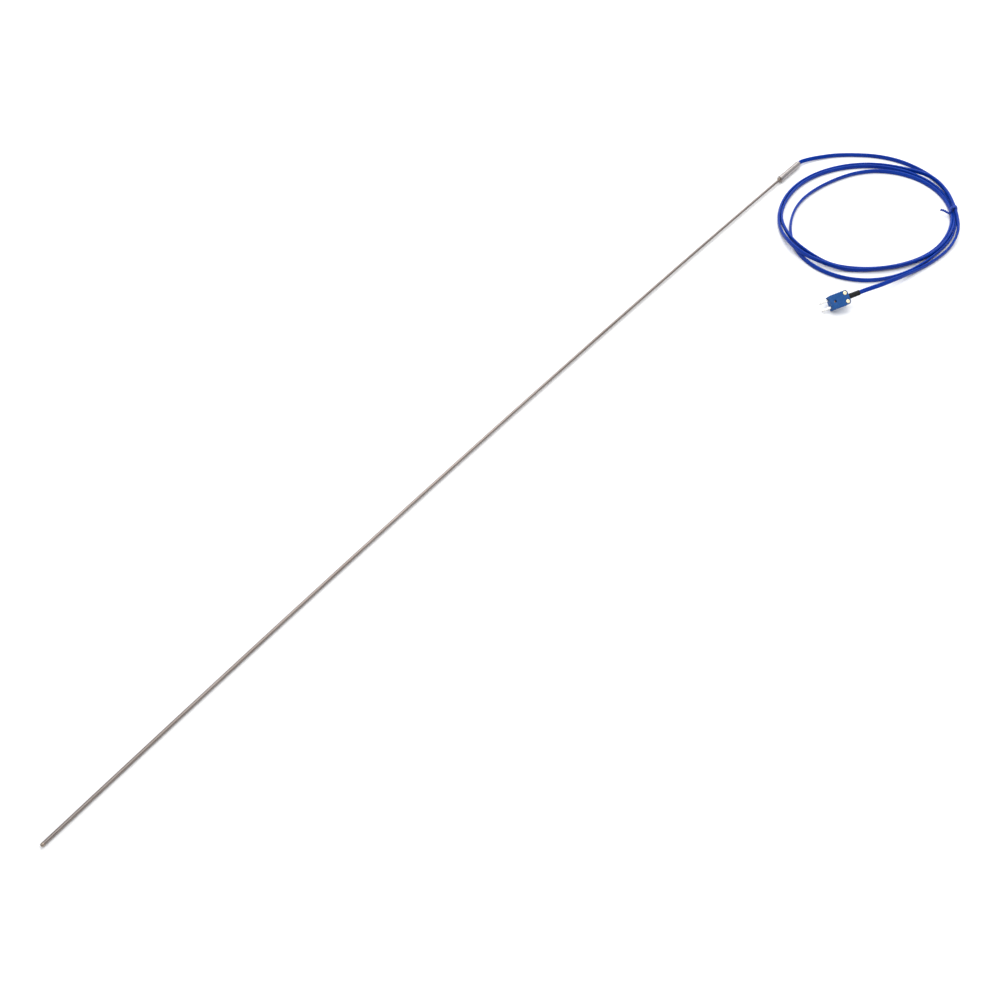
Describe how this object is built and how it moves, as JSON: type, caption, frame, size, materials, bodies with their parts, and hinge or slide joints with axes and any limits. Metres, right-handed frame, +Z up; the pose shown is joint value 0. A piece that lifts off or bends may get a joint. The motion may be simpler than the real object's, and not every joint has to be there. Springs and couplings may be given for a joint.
{
  "type": "thermocouple",
  "caption": "Long thin metal-sheathed temperature probe with a pot seal, a flat twin lead in a loose tied coil, and a miniature flat-pin plug.",
  "frame": {"origin": "on the floor, under the middle of the rigid probe (sheath and pot seal)", "axes": "+X along the pot seal, from the sensing tip towards the lead; +Z up"},
  "size_m": [1.1274, 0.2076, 0.0177],
  "materials": {
    "steel": "drawn and lightly polished stainless steel",
    "mineral": "compacted white powder",
    "copper": "bare drawn copper",
    "constantan": "bare drawn alloy wire",
    "brass": "bright pale plated brass",
    "tin_plate": "bright plated flat pin",
    "epoxy": "cream potting resin",
    "glass_fibre": "woven glass sleeve",
    "pvc_blue": "glossy extruded blue cable jacket",
    "pvc_white": "white core insulation",
    "moulding_blue": "fine-textured mid-blue moulding",
    "rubber_black": "smooth black rubber sleeve"
  },
  "bodies": {
    "thermocouple": {"sheath": "steel", "tip_cap": "steel", "hot_junction": "constantan", "mineral_insulation": "mineral", "sheath_end_seal": "epoxy", "thermoelement_positive": "copper", "thermoelement_negative": "constantan", "pot_sleeve": "steel", "front_ferrule": "steel", "potting_compound": "epoxy", "splice_positive": "brass", "splice_insulator_positive": "glass_fibre", "pot_core_positive": "pvc_white", "splice_negative": "brass", "splice_insulator_negative": "glass_fibre", "pot_core_negative": "pvc_blue", "jacket_in_pot": "pvc_blue", "lead_from_pot": "pvc_blue", "lead_coil": "pvc_blue", "lead_tie": "pvc_blue", "lead_to_plug": "pvc_blue", "plug_base": "moulding_blue", "plug_cover": "moulding_blue", "pin_positive": "tin_plate", "plug_core_positive": "pvc_white", "pin_negative": "tin_plate", "plug_core_negative": "pvc_blue", "cover_screw": "brass", "cover_nut": "brass", "strain_relief": "rubber_black", "jacket_in_plug": "pvc_blue"},
    "clamp_positive": {"clamp_washer_positive": "brass"},
    "screw_positive": {"terminal_screw_positive": "brass"},
    "clamp_negative": {"clamp_washer_negative": "brass"},
    "screw_negative": {"terminal_screw_negative": "brass"}
  },
  "joints": [
    {"name": "clamp_positive_lift", "type": "slide", "parent": "thermocouple", "child": "clamp_positive", "axis": [-0.4048, -0.4366, 0.8035], "range_m": [0, 0.00135]},
    {"name": "screw_positive_turn", "type": "hinge", "parent": "clamp_positive", "child": "screw_positive", "pos_m": [0.34059, -0.1536, 0.00759], "axis": [-0.4048, -0.4366, 0.8035], "range_deg": [0, 1080]},
    {"name": "clamp_negative_lift", "type": "slide", "parent": "thermocouple", "child": "clamp_negative", "axis": [-0.4048, -0.4366, 0.8035], "range_m": [0, 0.00135]},
    {"name": "screw_negative_turn", "type": "hinge", "parent": "clamp_negative", "child": "screw_negative", "pos_m": [0.34344, -0.14678, 0.01273], "axis": [-0.4048, -0.4366, 0.8035], "range_deg": [0, 1080]}
  ],
  "couplings": [
    {"joint": "screw_positive_turn", "follows": "clamp_positive_lift", "rad_per_m": 13962},
    {"joint": "screw_negative_turn", "follows": "clamp_negative_lift", "rad_per_m": 13962}
  ]
}
